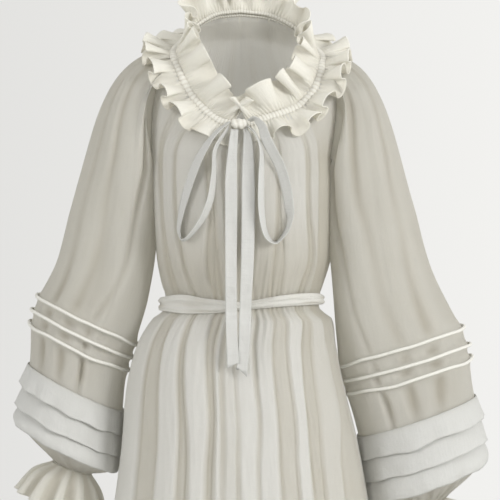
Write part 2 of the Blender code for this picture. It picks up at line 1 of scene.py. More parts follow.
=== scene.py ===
"""The looks of an ivory voile dress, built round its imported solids.

Metres, +Z up. X runs from the wearer's right to left, and -Y is the front. The origin is midway between
the shoulders, at the height of the neck casing. A drop is a distance below it.
"""

from bisect import bisect_right
from math import asin, cos, exp, pi, radians, sin

import bpy
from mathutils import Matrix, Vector, noise


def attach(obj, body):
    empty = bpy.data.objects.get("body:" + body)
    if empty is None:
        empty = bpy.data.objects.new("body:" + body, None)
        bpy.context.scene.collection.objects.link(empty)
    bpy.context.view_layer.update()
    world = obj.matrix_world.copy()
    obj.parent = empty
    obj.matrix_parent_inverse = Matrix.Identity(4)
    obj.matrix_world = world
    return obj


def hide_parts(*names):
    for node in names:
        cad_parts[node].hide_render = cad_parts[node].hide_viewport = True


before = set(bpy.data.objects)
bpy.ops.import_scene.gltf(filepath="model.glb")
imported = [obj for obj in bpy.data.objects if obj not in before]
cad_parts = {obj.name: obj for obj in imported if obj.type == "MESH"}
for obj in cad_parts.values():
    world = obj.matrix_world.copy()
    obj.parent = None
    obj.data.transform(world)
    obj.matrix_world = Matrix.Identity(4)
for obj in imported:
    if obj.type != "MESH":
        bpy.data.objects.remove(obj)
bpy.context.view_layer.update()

# The place where the dress is shown
# A plain pale floor under the hem, a pale room all round and wide soft lights, and a camera level
# with the waist that cuts the skirt off at mid-thigh, as the photograph does.
FLOOR_DROP, FLOOR_RADIUS = 1.42, 4
FLOOR_COLOUR, ROOM_COLOUR = (0.70, 0.695, 0.68, 1), (1, 0.995, 0.972, 1)
# Two places along an axis of the room and the light there: dim in front of the dress and bright behind
# it, so that the windows model the folds, with a slight slant from side to side
ROOM_LIGHT = {
    "Y": {"From Min": -0.9, "From Max": 0.9, "To Min": 0.56, "To Max": 0.86},
    "X": {"From Min": -0.16, "From Max": 0.16, "To Min": -0.09, "To Max": 0.03},
}
# name, place, width, watts
WINDOWS = (("window_left", (-2.8, -2.4, 0.9), 1.5, 54), ("window_right", (2.7, -2.2, 0.7), 1.3, 84))
WINDOWS_FACE = Vector((0, 0, -0.55))
CAMERA_AT, CAMERA_SENSOR, CAMERA_LENS = (0.0109, -2.45, -0.31), 36, 113.8


class Value:
    """A number that a shader works out over a surface, for sums written as plain expressions."""

    def __init__(self, recipe, socket):
        self.recipe, self.socket = recipe, socket

    def math(self, operation, *terms):
        return self.recipe.add("Math", {"operation": operation}, dict(enumerate(terms)))

    def sine(self):
        return self.math("SINE", self)

    def __add__(self, other):
        return self.math("ADD", self, other)

    def __sub__(self, other):
        return self.math("SUBTRACT", self, other)

    def __rsub__(self, other):
        return self.math("SUBTRACT", other, self)

    def __mul__(self, other):
        return self.math("MULTIPLY", self, other)

    __radd__, __rmul__ = __add__, __mul__


class Recipe:
    """The nodes of a material, or of the room, in the making."""

    def __init__(self, owner):
        owner.use_nodes = True
        self.tree = owner.node_tree

    def put(self, node, sockets):
        for key, value in sockets.items():
            if isinstance(value, Value):
                self.tree.links.new(value.socket, node.inputs[key])
            else:
                node.inputs[key].default_value = value

    def add(self, kind, settings, sockets, result=0):
        node = self.tree.nodes.new("ShaderNode" + kind)
        for key, value in settings.items():
            setattr(node, key, value)
        self.put(node, sockets)
        return Value(self, node.outputs[result])


bpy.ops.object.select_all(action="DESELECT")
bpy.ops.mesh.primitive_circle_add(
    vertices=96, radius=FLOOR_RADIUS, fill_type="NGON", location=(0, 0, -FLOOR_DROP)
)
floor = bpy.context.active_object
floor.name = "floor"
floor_paint = bpy.data.materials.new("floor_paint")
paint = Recipe(floor_paint)
paint.put(paint.tree.nodes["Principled BSDF"], {"Base Color": FLOOR_COLOUR, "Roughness": 0.85})
floor.data.materials.append(floor_paint)

room = bpy.data.worlds.new("pale_room")
sky = Recipe(room)
direction = sky.add("TexCoord", {}, {}, "Generated")
depth, slant = (
    sky.add("MapRange", {}, {"Value": sky.add("SeparateXYZ", {}, {0: direction}, axis), **ends})
    for axis, ends in ROOM_LIGHT.items()
)
sky.put(sky.tree.nodes["Background"], {"Strength": depth + slant, "Color": ROOM_COLOUR})
bpy.context.scene.world = room
bpy.context.scene.view_settings.view_transform = "Standard"

for name, place, width, watts in WINDOWS:
    light = bpy.data.lights.new(name, "AREA")
    light.size, light.energy = width, watts
    window = bpy.data.objects.new(name, light)
    window.location = place
    window.rotation_euler = (WINDOWS_FACE - window.location).to_track_quat("-Z", "Y").to_euler()
    bpy.context.collection.objects.link(window)

camera = bpy.data.objects.new("camera", bpy.data.cameras.new("camera"))
camera.location = CAMERA_AT
camera.rotation_euler = (pi / 2, 0, 0)
camera.data.sensor_width, camera.data.lens = CAMERA_SENSOR, CAMERA_LENS
bpy.context.collection.objects.link(camera)
bpy.context.scene.camera = camera

# Front and back
# Each is one length of ivory cotton voile from the neck casing to the hem. It is gathered into the
# casing, drawn in under the sash, and hangs below it in deep soft folds. It is so sheer that tan shows
# through it, and the hollows between the folds show that tan and also carry painted shade.
SIDE_Y = -0.006
# drop, wearer's right edge, left edge, front, back, depth of the folds
BODY = (
    (0.120, -0.132, 0.130, -0.101, 0.100, 0.002),
    (0.170, -0.142, 0.141, -0.116, 0.104, 0.004),
    (0.240, -0.139, 0.140, -0.127, 0.102, 0.006),
    (0.320, -0.133, 0.136, -0.119, 0.094, 0.007),
    (0.362, -0.125, 0.124, -0.107, 0.086, 0.006),
    (0.380, -0.119, 0.118, -0.101, 0.080, 0.003),
    (0.402, -0.120, 0.119, -0.101, 0.080, 0.003),
    (0.416, -0.139, 0.137, -0.115, 0.096, 0.008),
    (0.455, -0.162, 0.143, -0.124, 0.107, 0.011),
    (0.520, -0.178, 0.156, -0.131, 0.120, 0.013),
    (0.620, -0.188, 0.180, -0.144, 0.135, 0.016),
    (0.760, -0.207, 0.204, -0.163, 0.155, 0.020),
    (0.950, -0.233, 0.232, -0.188, 0.182, 0.025),
    (1.160, -0.261, 0.261, -0.213, 0.209, 0.030),
    (1.380, -0.290, 0.290, -0.237, 0.233, 0.034),
)
UNDERARM, WAIST, HEM = 0.170, 0.392, 1.380
# The drop below the waist in which the folds take their places for the skirt
SKIRT_SETTLES = 0.08
# The front's pleats: place across the front of each edge between two pleats, at each drop, and how far the
# pleat to its left is sunk above and below the sash
EDGE_DROPS = (0.170, 0.254, 0.333, 0.392, 0.542, 0.635, 1.380)
FRONT_EDGES = (
    (-0.900, -0.900, -0.880, -0.860, -0.825, -0.833, -0.830, 0.60, 0.60),
    (-0.860, -0.860, -0.820, -0.770, -0.690, -0.688, -0.690, 0.00, 0.00),
    (-0.730, -0.735, -0.685, -0.600, -0.494, -0.500, -0.510, 0.50, 0.60),
    (-0.705, -0.710, -0.660, -0.560, -0.442, -0.427, -0.430, 0.00, 0.00),
    (-0.390, -0.370, -0.410, -0.340, -0.232, -0.266, -0.290, 0.60, 0.60),
    (-0.330, -0.310, -0.280, -0.240, -0.185, -0.220, -0.240, 0.10, 0.05),
    (-0.190, -0.180, -0.170, -0.150, -0.125, -0.145, -0.150, 0.15, 0.15),
    (-0.040, -0.040, -0.050, -0.030, 0.009, -0.020, -0.010, 0.00, 0.00),
    (0.140, 0.140, 0.100, 0.140, 0.202, 0.148, 0.140, 0.15, 0.00),
    (0.370, 0.372, 0.340, 0.345, 0.361, 0.323, 0.310, 0.50, 0.55),
    (0.400, 0.410, 0.463, 0.480, 0.503, 0.456, 0.450, 0.00, 0.00),
    (0.680, 0.690, 0.735, 0.680, 0.619, 0.577, 0.570, 0.60, 0.65),
    (0.720, 0.730, 0.790, 0.760, 0.722, 0.671, 0.660, 0.20, 0.35),
    (0.820, 0.820, 0.836, 0.870, 0.928, 0.831, 0.830, 0.80, 0.60),
)
# The line between two pleats: half width and softness in degrees, and depth
EDGE_HALF, EDGE_SOFT, EDGE_DEEP = 0.40, 1.5, 0.48
# How deep the folds lie above and below the sash, next to the solid's
FOLD_SHARES = (0.65, 0.40)
# drop, how much tan shows through the flat cloth
VEIL = ((0.12, 0.20), (0.25, 0.25), (0.33, 0.60), (0.39, 0.60), (0.42, 0.12), (0.60, 0.0), (1.38, 0.0))
# The back's pleats: how many, how wide a sunk one is next to a raised one, and how far they are sunk
BACK_FOLDS, BACK_NARROW, BACK_SUNK, BACK_SUNK_MORE = 13, 0.5, 0.35, 0.3
FOLD_STEPS = 17
# Half height and reach up and down of the gathers next to the sash, the close ones and the wide ones
SASH_GATHERS, SASH_PUCKERS = (0.0012, 0.035), (0.0011, 0.09)
# Half height of the gathers at the neck, and of the soft and the fine rumples of the hanging cloth
NECK_GATHERS, SOFT_RUMPLES, FINE_RUMPLES = 0.0012, 0.0022, 0.0005
SIDE_SEAM = 0.0006
# The casing's middle line: bearing from the front towards the wearer's left, x, y, z
NECK_LINE = (
    (-180, -0.003, 0.070, 0.068),
    (-150, -0.045, 0.066, 0.062),
    (-125, -0.079, 0.048, 0.040),
    (-105, -0.098, 0.020, 0.014),
    (-90, -0.106, 0.000, 0.002),
    (-75, -0.107, -0.022, -0.010),
    (-62, -0.098, -0.043, -0.035),
    (-48, -0.081, -0.065, -0.070),
    (-34, -0.060, -0.080, -0.096),
    (-18, -0.033, -0.092, -0.117),
    (0, 0.000, -0.097, -0.122),
    (18, 0.032, -0.092, -0.113),
    (34, 0.061, -0.083, -0.103),
    (48, 0.086, -0.069, -0.091),
    (62, 0.108, -0.050, -0.065),
    (75, 0.119, -0.028, -0.035),
    (90, 0.122, -0.004, -0.010),
    (105, 0.112, 0.018, 0.006),
    (125, 0.090, 0.046, 0.035),
    (150, 0.048, 0.066, 0.060),
    (180, -0.003, 0.070, 0.068),
)
NECK_SLOPE_SIDE, NECK_SLOPE_MORE = 0.2, 1.8
RAGLAN_FRONT, RAGLAN_BACK = {-1: -64, 1: 72}, {-1: -128, 1: 128}
PANEL_OUT, PANEL_IN = 0.0054, -0.0005
YOKE_LEAN = 0.35
YOKE_ROWS = 24
SLIT_EDGE, SLIT_COLUMNS, SLIT_ROWS = 7, 7, 9
# The panels' rows lie close together as far down as the camera sees, and wider apart below that
CLOSE_ROWS, CLOSE_STEP, WIDE_ROWS, WIDE_FROM = 84, 0.007, 42, 0.758
BODY_DROPS = [UNDERARM + CLOSE_STEP * k for k in range(CLOSE_ROWS)]
BODY_DROPS += [WIDE_FROM + (HEM - WIDE_FROM) * k / WIDE_ROWS for k in range(1, WIDE_ROWS + 1)]
# The cloth, and the gap between two of its threads
VOILE, THREAD_GAP = 0.0006, 0.0007


def glide(keys, values, at):
    """Reads a smooth curve through values at rising keys."""
    last = len(keys) - 1
    low = min(max(bisect_right(keys, at) - 1, 0), last - 1)
    span = keys[low + 1] - keys[low]
    t = (at - keys[low]) / span

    def slope(k):
        before, after = max(k - 1, 0), min(k + 1, last)
        return (values[after] - values[before]) / (keys[after] - keys[before])

    ease = t * t * (3 - 2 * t)
    leave = t * (1 - t) ** 2 * span * slope(low)
    arrive = t * t * (1 - t) * span * slope(low + 1)
    return values[low] * (1 - ease) + values[low + 1] * ease + leave - arrive


def read(table, at):
    """Reads a table between its rows: its first column holds the keys, and the rest comes back."""
    columns = list(zip(*table))
    return [glide(columns[0], column, at) for column in columns[1:]]


def bend(start, leave, end, arrive, t):
    """A point on the curve that leaves start and arrives at end along the given vectors."""
    ease = t * t * (3 - 2 * t)
    return start.lerp(end, ease) + leave * t * (1 - t) ** 2 - arrive * t * t * (1 - t)


def passed(low, high, at):
    """How far a value has come from one place to another, from 0 to 1."""
    return min(1.0, max(0.0, (at - low) / (high - low)))


def rumple(a, b, seed):
    """Uneven soft swells between about -1 and 1, the same at every run."""
    return 1.6 * noise.noise(Vector((a, b, seed)))


def around(bearing):
    return (bearing + 180) % 360 - 180


def neck_at(bearing):
    return Vector(read(NECK_LINE, around(bearing)))


def neck_frame(bearing):
    """The casing's middle, the way out along the body, the way off it and the way along the casing."""
    middle = neck_at(bearing)
    along = (neck_at(bearing + 2) - neck_at(bearing - 2)).normalized()
    turn = radians(bearing)
    out = Vector((sin(turn), -cos(turn), -NECK_SLOPE_SIDE - NECK_SLOPE_MORE * cos(turn) ** 2))
    out = (out - along * out.dot(along)).normalized()
    return middle, out, out.cross(along), along


def body_point(drop, bearing, sink):
    """A point on the body's section at a drop, sunk inwards from the crests of the folds."""
    right, left, front, back, _ = read(BODY, drop)
    turn = radians(bearing)
    half = (left - right) / 2
    deep = (SIDE_Y - front) if cos(turn) > 0 else (back - SIDE_Y)
    at = Vector(((left + right) / 2 + half * sin(turn), SIDE_Y - deep * cos(turn), -drop))
    return at + Vector((-sin(turn) / half, cos(turn) / deep, 0)).normalized() * sink


def below_sash(drop):
    return passed(WAIST, WAIST + SKIRT_SETTLES, drop)


def front_folds(drop):
    """Where the edges of the front's pleats lie at a drop, and how far each pleat is sunk."""
    places = [-1.0] + [glide(EDGE_DROPS, row[:-2], drop) for row in FRONT_EDGES] + [1.0]
    bearings = [asin(max(-1.0, min(1.0, p))) * 180 / pi for p in places]
    skirt = below_sash(drop)
    return bearings, [0.0] + [row[-2] + (row[-1] - row[-2]) * skirt for row in FRONT_EDGES]


def back_folds(drop):
    """The same for the back, where broad pleats and narrow sunk ones take turns."""
    widths = [(1 + 0.4 * sin(2.4 * k)) * (BACK_NARROW if k % 2 else 1.0) for k in range(BACK_FOLDS)]
    widths = [BACK_NARROW] + widths + [BACK_NARROW]
    total, run, bearings = sum(widths), 0.0, [-90.0]
    for width in widths:
        run += width
        bearings.append(180 * run / total - 90)
    sunk = [(BACK_SUNK + BACK_SUNK_MORE * (k % 4 == 1)) * (k % 2) for k in range(BACK_FOLDS)]
    return bearings, [0.0] + sunk + [0.0]


def panel_columns(folds, drop, seed):
    """(bearing, hollow) for each column. A hollow is 0 on a raised pleat and 1 at the bottom of a groove.

    Each side of an edge has its own width and softness, which change slowly down the cloth.
    """
    bearings, sunk = folds(drop)
    last, found = len(sunk) - 1, []
    for k, low in enumerate(sunk):
        wide = bearings[k + 1] - bearings[k]
        for step in range(FOLD_STEPS):
            q = step / FOLD_STEPS
            side = 2 * k + (q > 0.5)
            from_seam = q if k == 0 else 1 - q if k == last else 1.0
            near = wide if from_seam < 0.5 else min(q, 1 - q) * wide
            half = EDGE_HALF * (1 + 0.5 * rumple(side * 3.1, drop * 4, seed))
            soft = EDGE_SOFT * (1 + 0.5 * rumple(side * 5.3, drop * 3, seed + 2)) + 0.3
            rise = passed(half, half + soft, near)
            deep = EDGE_DEEP * (1 + 0.4 * rumple(k + (q > 0.5), drop * 5, seed + 4))
            level = low * min(1.0, from_seam * 4)
            cut = deep * (1 - rise * rise * (3 - 2 * rise))
            found.append((bearings[k] + wide * q, level + (1 - level) * cut))
    found.append((bearings[-1], 0.0))
    return found


def gathers(bearing, drop, seed):
    """The small gathers above and below the sash, and the soft rumples of the hanging cloth."""
    edge = min(1.0, (90 - abs(bearing)) / 8)
    from_sash = abs(drop - WAIST)
    close, wide = (high * exp(-from_sash / reach) for high, reach in (SASH_GATHERS, SASH_PUCKERS))
    close *= sin(bearing * 1.55 + 2.5 * rumple(bearing * 0.05, drop * 3, seed))
    wide *= rumple(bearing * 0.3, drop * 7, seed + 1)
    soft = SOFT_RUMPLES * rumple(bearing * 0.06, drop * 5, seed + 2) * min(1.0, from_sash / 0.06)
    fine = FINE_RUMPLES * rumple(bearing * 0.5, drop * 22, seed + 3)
    return edge * (close + wide + soft + fine)


def panel_top(bearing):
    middle, out, off, _ = neck_frame(bearing)
    return middle + out * PANEL_OUT + off * PANEL_IN, out


def yoke_point(neck_bearing, bearing, sink, t):
    """A point between the casing, t = 0, and the body's section at the underarm, t = 1."""
    start, out = panel_top(neck_bearing)
    end = body_point(UNDERARM, bearing, sink)
    reach = (end - start).length
    turn = radians(bearing)
    lean = YOKE_LEAN * sin(turn) ** 2 * (1 if cos(turn) > 0 else -1)
    return bend(start, out * reach, end, Vector((0, lean, -1)).normalized() * reach, t)


def front_neck(bearing):
    return RAGLAN_FRONT[-1] + (RAGLAN_FRONT[1] - RAGLAN_FRONT[-1]) * (bearing + 90) / 180


def back_neck(bearing):
    return RAGLAN_BACK[-1] - (360 - RAGLAN_BACK[1] + RAGLAN_BACK[-1]) * (bearing + 90) / 180


def panel_rows(folds, neck_bearing, facing, seed):
    """Rows of (point, hollow) from the casing to the hem. facing is 0 at the front and 180 at the back."""
    depth, veil = BODY[1][-1] * FOLD_SHARES[0], VEIL[0][1]
    rows = []
    for step in range(YOKE_ROWS):
        t = step / YOKE_ROWS
        row = []
        for bearing, hollow in panel_columns(folds, UNDERARM, seed):
            seen = facing - bearing if facing else bearing
            small = NECK_GATHERS * (1 - t) * sin(bearing * 1.7 + 3 * rumple(bearing * 0.04, t * 2, seed))
            small *= min(1.0, (90 - abs(bearing)) / 8)
            sink = depth * hollow * t + t * gathers(bearing, UNDERARM, seed) + small * t ** 0.3
            # The colour's hollow: tan that shows through the cloth, and painted shade in the grooves
            row.append((yoke_point(neck_bearing(bearing), seen, sink, t), veil + (1 - veil) * hollow * t))
        rows.append(row)
    for drop in BODY_DROPS:
        share = FOLD_SHARES[0] + (FOLD_SHARES[1] - FOLD_SHARES[0]) * below_sash(drop)
        fold, veil = read(BODY, drop)[-1] * share, read(VEIL, drop)[0]
        row = []
        for bearing, hollow in panel_columns(folds, drop, seed):
            seen = facing - bearing if facing else bearing
            point = body_point(drop, seen, fold * hollow + gathers(bearing, drop, seed))
            shift = SIDE_SEAM / 2 * max(0.0, abs(bearing) - 80) / 10
            point.y += shift if facing else -shift
            # The colour's hollow: tan that shows through the cloth, and painted shade in the grooves
            row.append((point, veil + (1 - veil) * hollow))
        rows.append(row)
    return rows


def drape(name, rows, wall, finish, closed=False, left_out=(), hems=(), hem=0.5):
    """Makes a thin cloth from rows of (point, hollow), with the cloth's own measures as its UV map.

    The rows whose numbers are in hems have the full wall, and the others hem times that.
    """
    wide, tall = len(rows[0]), len(rows)
    faces = [
        (r * wide + c, r * wide + (c + 1) % wide, (r + 1) * wide + (c + 1) % wide, (r + 1) * wide + c)
        for r in range(tall - 1)
        for c in range(wide if closed else wide - 1)
        if (r, c) not in left_out
    ]
    mesh = bpy.data.meshes.new(name)
    mesh.from_pydata([point for row in rows for point, _ in row], [], faces)
    # Each point's hollow, which the voile turns into its shade colour: painted shade, and on the body also
    # tan
    hollows = mesh.attributes.new("hollow", "FLOAT", "POINT")
    hollows.data.foreach_set("value", [hollow for row in rows for _, hollow in row])
    widest = max(rows, key=lambda row: sum((a[0] - b[0]).length for a, b in zip(row, row[1:])))
    across, down = [0.0], [0.0]
    for a, b in zip(widest, widest[1:] + widest[:1]):
        across.append(across[-1] + (a[0] - b[0]).length)
    for upper, lower in zip(rows, rows[1:]):
        down.append(down[-1] + sum((a[0] - b[0]).length for a, b in zip(upper, lower)) / wide)
    measures = mesh.uv_layers.new(name="measures")
    for polygon in mesh.polygons:
        first = polygon.vertices[0] % wide
        for loop in polygon.loop_indices:
            row, column = divmod(mesh.loops[loop].vertex_index, wide)
            measures.data[loop].uv = across[column if column >= first else wide], down[row]
    mesh.shade_smooth()
    piece = bpy.data.objects.new(name, mesh)
    bpy.context.collection.objects.link(piece)
    thick = piece.vertex_groups.new(name="hem")
    for row in hems:
        thick.add([(row % tall) * wide + c for c in range(wide)], 1.0, "REPLACE")
    wall_maker = piece.modifiers.new("Wall", "SOLIDIFY")
    wall_maker.thickness = wall
    wall_maker.offset = 0
    if hems:
        wall_maker.vertex_group = "hem"
        wall_maker.thickness_vertex_group = hem
    mesh.materials.append(finish)
    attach(piece, "root")
    return piece


def voile(name, crest, shade, cover, shading, sheer):
    """Cotton voile: crest and shade are its colours on a fold and in a hollow, and cover is its opacity.

    The shade colour stands for painted shade in the hollows, together with the tan that shows through
    the sheer cloth. shading is how much this painted shade darkens the hollows, and sheer the share of
    the light that soaks through it.
    """
    material = bpy.data.materials.new(name)
    made = Recipe(material)
    measures = made.add("UVMap", {"uv_map": "measures"}, {})
    hollow = made.add("Attribute", {"attribute_name": "hollow"}, {}, "Fac")

    def uneven(across, down, detail, distortion=0.0):
        """Soft patches over the cloth, so many to a metre each way."""
        stretched = made.add("Mapping", {}, {"Vector": measures, "Scale": (across, down, 1)})
        sockets = {"Vector": stretched, "Scale": 1.0, "Detail": detail, "Distortion": distortion}
        return made.add("TexNoise", {}, sockets)

    # Thick and thin threads both ways, and the plain weave
    slub = (uneven(1500, 60, 2.0) + uneven(60, 1500, 2.0)) * 0.5
    apart = [made.add("SeparateXYZ", {}, {"Vector": measures}, axis) for axis in "XY"]
    weave = (apart[0] * (2 * pi / THREAD_GAP)).sine() * (apart[1] * (2 * pi / THREAD_GAP)).sine()
    # Long crinkles down the cloth, the clouding of thicker and thinner places, and soft creases
    crinkle = uneven(170, 26, 4.0, 0.6)
    cloud = uneven(18, 18, 3.0)
    crease = uneven(38, 38, 5.0, 1.4)
    # Painted shade in the hollows, with the tan that shows through and the random tone of clouding and
    # slubs
    shade_and_tone = hollow * shading + (cloud - 0.5) * 0.25 + (slub - 0.5) * 0.2
    mixed = {0: shade_and_tone, 6: (*crest, 1), 7: (*shade, 1)}
    colour = made.add("Mix", {"data_type": "RGBA", "clamp_factor": True}, mixed, 2)
    height = crinkle + crease * 1.3 + slub * 0.3 + weave * 0.05
    bump = made.add("Bump", {}, {"Strength": 0.65, "Distance": 0.0016, "Height": height})
    surface = made.tree.nodes["Principled BSDF"]
    made.put(
        surface,
        {
            "Base Color": colour,
            "Roughness": 0.88,
            "Specular IOR Level": 0.25,
            "Sheen Weight": 0.25,
            "Sheen Roughness": 0.5,
            "Alpha": (slub - 0.5) * 0.25 + weave * 0.03 + cover,
            "Normal": bump,
        },
    )
    glow = made.add("BsdfTranslucent", {}, {"Color": (*crest, 1)})
    cloth = made.add("MixShader", {}, {0: sheer, 1: Value(made, surface.outputs[0]), 2: glow})
    made.put(made.tree.nodes["Material Output"], {"Surface": cloth})
    return material


body_voile = voile("body_voile", (0.885, 0.88, 0.855), (0.62, 0.58, 0.485), 0.95, 1.0, 0.55)

split = (1 + SLIT_EDGE) * FOLD_STEPS
slit = [(row, split + column) for row in range(SLIT_ROWS) for column in range(SLIT_COLUMNS)]
front_rows = panel_rows(front_folds, front_neck, 0, 3.0)
back_rows = panel_rows(back_folds, back_neck, 180, 11.0)
front = drape("front", front_rows, VOILE * 2, body_voile, left_out=slit, hems=(0, -1, -2))
back = drape("back", back_rows, VOILE * 2, body_voile, hems=(0, -1, -2))
for piece, node, length in ((front, "body_front", 1.40), (back, "body_back", 1.50)):
    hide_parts(node)

# Sleeves
# Raglan bishop sleeves of the same voile, gathered at the casing and the wrist. They hang full and
# smooth, with one or two long folds, and the cloth puffs a little between the cords and under the tucks.
# The gap at the raglan seams
RAGLAN_SEAM = 0.0009
SIDES = {"right": -1, "left": 1}
# outer x, outer drop, inner x, inner drop, middle y, half depth, depth of the folds
SLEEVE = {
    "right": (
        (-0.239, 0.138, -0.1385, 0.199, 0.012, 0.075, 0.005),
        (-0.269, 0.244, -0.1360, 0.290, 0.020, 0.078, 0.006),
        (-0.292, 0.325, -0.1460, 0.383, 0.026, 0.078, 0.006),
        (-0.320, 0.382, -0.1670, 0.457, 0.030, 0.074, 0.003),
        (-0.332, 0.425, -0.1795, 0.498, 0.030, 0.076, 0.003),
        (-0.334, 0.487, -0.1890, 0.560, 0.028, 0.076, 0.002),
        (-0.345, 0.547, -0.1950, 0.622, 0.026, 0.078, 0.002),
        (-0.347, 0.582, -0.2030, 0.654, 0.024, 0.076, 0.004),
        (-0.298, 0.637, -0.2360, 0.659, 0.020, 0.030, 0.003),
    ),
    "left": (
        (0.244, 0.150, 0.1380, 0.203, 0.012, 0.075, 0.005),
        (0.271, 0.244, 0.1365, 0.295, 0.020, 0.078, 0.006),
        (0.299, 0.340, 0.1425, 0.395, 0.026, 0.078, 0.006),
        (0.343, 0.431, 0.1510, 0.491, 0.030, 0.076, 0.003),
        (0.356, 0.479, 0.1620, 0.535, 0.030, 0.078, 0.003),
        (0.362, 0.537, 0.1810, 0.600, 0.028, 0.078, 0.002),
        (0.371, 0.600, 0.1930, 0.662, 0.026, 0.080, 0.002),
        (0.370, 0.643, 0.2050, 0.702, 0.024, 0.078, 0.004),
        (0.318, 0.694, 0.2540, 0.716, 0.020, 0.030, 0.003),
    ),
}
# Long folds: place round the sleeve at the shoulder and at the cords, half width, depth
SLEEVE_CREASES = {
    "right": (
        (0.95, 1.40, 0.06, 0.0110), (1.62, 1.85, 0.09, 0.0045), (2.25, 2.30, 0.08, 0.0055),
        (3.6, 3.5, 0.10, 0.006), (4.4, 4.6, 0.11, 0.008), (5.3, 5.2, 0.10, 0.006),
    ),
    "left": (
        (0.70, 1.05, 0.06, 0.0100), (1.25, 1.50, 0.09, 0.0060), (2.10, 2.00, 0.10, 0.0045),
        (3.5, 3.7, 0.10, 0.006), (4.3, 4.2, 0.11, 0.008), (5.2, 5.4, 0.10, 0.006),
    ),
}
CORD_ROWS, TUCK_BOTTOM = (3.0, 3.5, 4.0), 6.9
# The last row of the sleeve's table, at the wrist
WRIST_ROW = 8
SLEEVE_COLUMNS, SEAM_COLUMNS = 160, 30
SHOULDER_ROWS, SLEEVE_ROWS = 26, 80
SEAM_FULLNESS, SHOULDER_FULLNESS = 1.0, 1.3
# Half height of the gathers at the shoulder and of the puckers under the cords, depth of those at the
# wrist, and how many of each lie round the sleeve
SHOULDER_GATHERS, CORD_PUCKERS, WRIST_GATHERS = 0.0024, 0.0011, 0.0045
PUCKERS_ROUND, GATHERS_ROUND = 34, 26
# How many of the front's columns the sleeve overlaps at the underarm
SEAM_OVERLAP = 8.5
SEAM_LEAN, SEAM_FALL, SEAM_FALL_MORE = 1.1, 0.25, 0.75
# How the upper sleeve's front corner fills out and leans over the side of the front
CORNER_ENDS, CORNER_FULL, CORNER_SHIFT = 3.4, 0.42, 0.016
# Painted light on the sleeve's side towards the body, and painted shade in its hollows
BODY_SIDE_PAINTED_LIGHT, HOLLOW_PAINTED_SHADE = 0.25, 0.75


def uneven_round(angle, often, seed):
    """Uneven soft swells round a ring, which meet where it closes."""
    return noise.noise(Vector((cos(angle), sin(angle), 0)) * often + Vector((0, 0, seed)))


def ring_rows(steps, columns, cloth_at):
    """Rows of closed cloth, from what cloth_at gives for a share of the way down and an angle."""
    angles = [2 * pi * k / columns for k in range(columns)]
    return [[cloth_at(step / steps, angle) for angle in angles] for step in range(steps + 1)]


def sleeve_ring(side, row, angle, out=0.0):
    """A point on a sleeve, at a row of its table. The angle runs from the body over the front."""
    table = SLEEVE[side]
    outer_x, outer_drop, inner_x, inner_drop, middle_y, deep, _ = (
        glide(range(len(table)), column, row) for column in zip(*table)
    )
    outer, inner = Vector((outer_x, 0, -outer_drop)), Vector((inner_x, 0, -inner_drop))
    close = max(0.0, 1 - row / CORNER_ENDS) * max(0.0, sin(angle)) * max(0.0, cos(angle))
    deep, shift = deep * (1 + CORNER_FULL * close), SIDES[side] * CORNER_SHIFT * close
    across = (outer - inner) / 2 * cos(angle) * (1 + CORNER_FULL * close)
    arm = Vector((-shift, -deep * sin(angle), 0)) - across
    return (outer + inner) / 2 + Vector((0, middle_y, 0)) + arm + arm.normalized() * out


def sleeve_sink(side, row, angle):
    """How far the cloth lies inside its even form, and the painted shade of the hollow that this makes."""
    seed = 20.0 + SIDES[side]
    held = 1 - sum(exp(-(((row - cord) / 0.16) ** 2)) for cord in CORD_ROWS)
    held = max(0.0, held) * (1 - 0.7 * exp(-(((row - 5) / 0.3) ** 2)))
    table = SLEEVE[side]
    deep = glide(range(len(table)), [line[-1] for line in table], row)
    long = uneven_round(angle, 1.7, row * 0.35 + seed)
    fine = uneven_round(angle, 8.5, row * 1.6 + seed)
    sink = deep * (0.5 - 1.1 * long) + 0.0009 * fine
    hollow = max(0.0, -long) * 0.5
    for top, bottom, half, depth in SLEEVE_CREASES[side]:
        place = top + (bottom - top) * min(row, 3.2) / 3.2 + 0.05 * rumple(row * 0.9, top, seed)
        near = exp(-(((angle - place) / half) ** 2)) * (0.65 + 0.35 * cos(row * 1.1 + top))
        sink += depth * near
        hollow += 1.1 * near
    crimp = exp(-(((row - CORD_ROWS[1]) / 0.55) ** 4)) * (0.5 + 0.5 * rumple(angle * 3, row, seed))
    sink += CORD_PUCKERS * crimp * (1 + sin(PUCKERS_ROUND * angle + 2 * rumple(angle * 2, 0.5, seed)))
    pulled = passed(TUCK_BOTTOM, WRIST_ROW, row)
    gathered = 0.5 + 0.5 * sin(GATHERS_ROUND * angle + 2 * rumple(angle * 2, 0, seed))
    wrist = WRIST_GATHERS * pulled ** 0.7 * gathered * (1.15 - pulled)
    return max(0.0, sink * held) + wrist, min(1.0, hollow * held + 0.5 * gathered * pulled)


def sleeve_painted_shade_at(angle, hollow):
    """Painted light and shade on the sleeve: lighter on the side towards the body, darker in a hollow."""
    return BODY_SIDE_PAINTED_LIGHT * (1 - max(0.0, cos(angle))) + HOLLOW_PAINTED_SHADE * hollow


